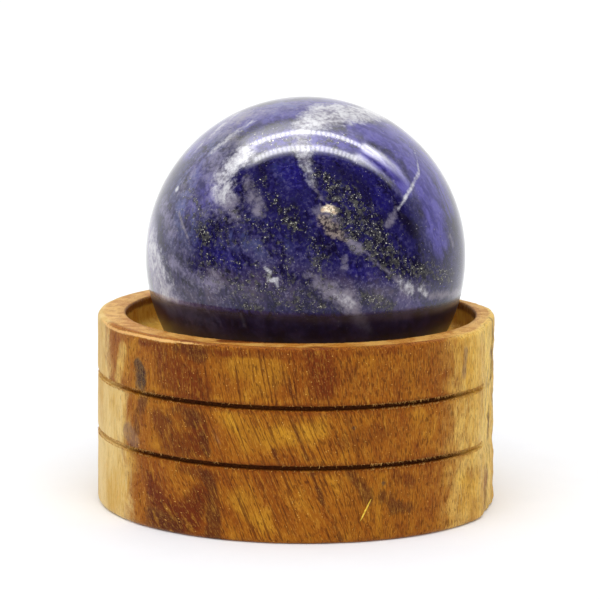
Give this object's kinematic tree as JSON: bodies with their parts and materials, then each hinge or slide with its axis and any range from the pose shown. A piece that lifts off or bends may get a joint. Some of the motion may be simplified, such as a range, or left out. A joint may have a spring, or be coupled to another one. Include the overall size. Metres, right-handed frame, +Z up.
{
  "type": "decorative stone sphere on a wooden stand",
  "caption": "Polished blue stone sphere resting in the round recess of a low turned wooden stand with grooves around it.",
  "frame": {"origin": "on the underside of the stand, on the axis that the stand was turned on", "axes": "+Z up along the turning axis, -Y to the front, +X to the side with the natural face"},
  "size_m": [0.0625, 0.0632, 0.0636],
  "materials": {
    "lapis_stone": "opaque deep blue stone, polished, with grey-white calcite veins and brassy pyrite flecks",
    "turned_wood": "golden brown hardwood, sanded and thinly oiled, pale sapwood at one side and one natural face"
  },
  "bodies": {
    "root": {"lapis_sphere": "lapis_stone", "wooden_stand": "turned_wood"}
  },
  "joints": []
}
